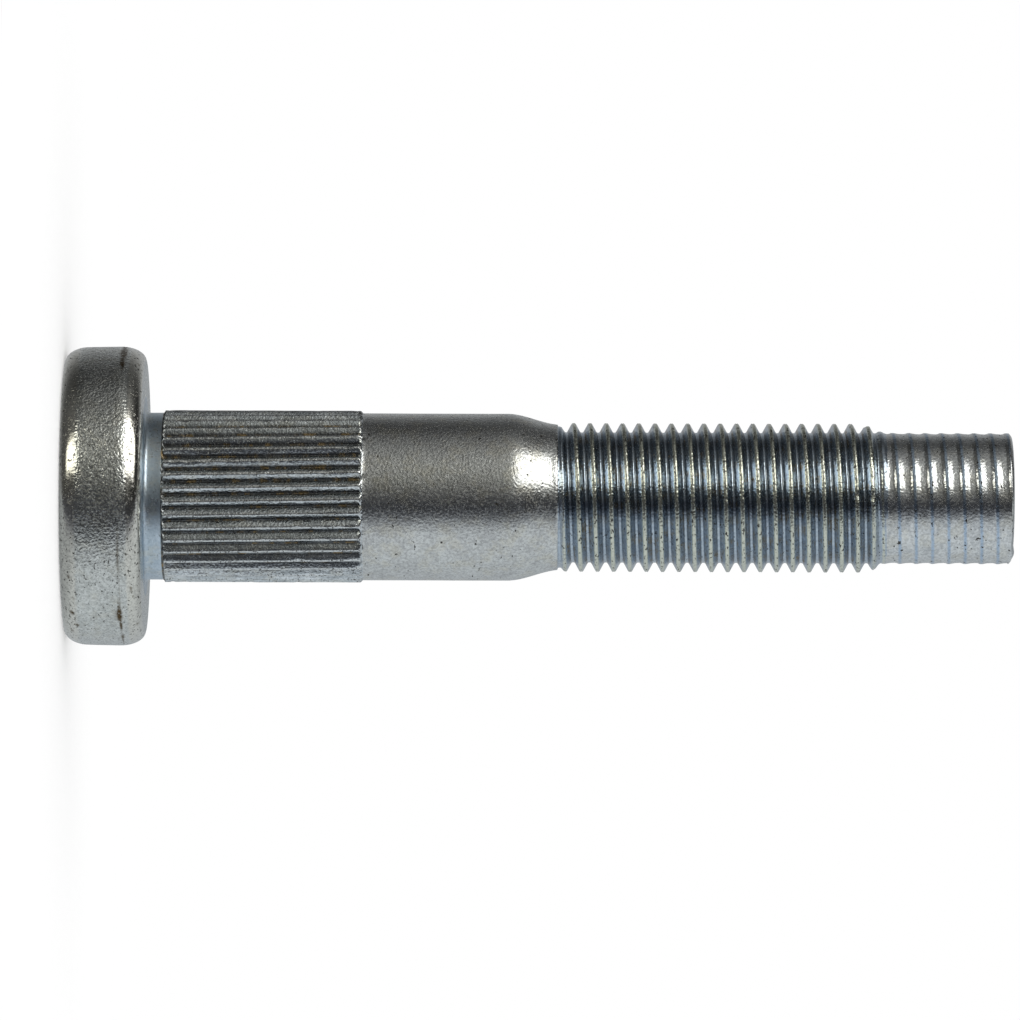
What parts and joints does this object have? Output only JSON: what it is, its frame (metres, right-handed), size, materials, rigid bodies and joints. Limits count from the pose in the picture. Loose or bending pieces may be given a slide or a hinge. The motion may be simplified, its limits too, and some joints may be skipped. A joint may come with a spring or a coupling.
{
  "type": "wheel stud",
  "caption": "Press-in wheel stud: round flat head, serrated press collar, plain shank, taper, right-hand rolled thread and a plain pilot at the tip, zinc plated.",
  "frame": {"origin": "centre of the flat outer face of the head, which the stud stands on", "axes": "+Z along the stud's axis, from the head to the threaded tip; X and Y have no feature of their own"},
  "size_m": [0.0276, 0.0276, 0.0873],
  "materials": {
    "zinc_plated_steel": "satin bright zinc plating with a faint blue cast over cold-forged steel"
  },
  "bodies": {
    "root": {"stud": "zinc_plated_steel"}
  },
  "joints": []
}
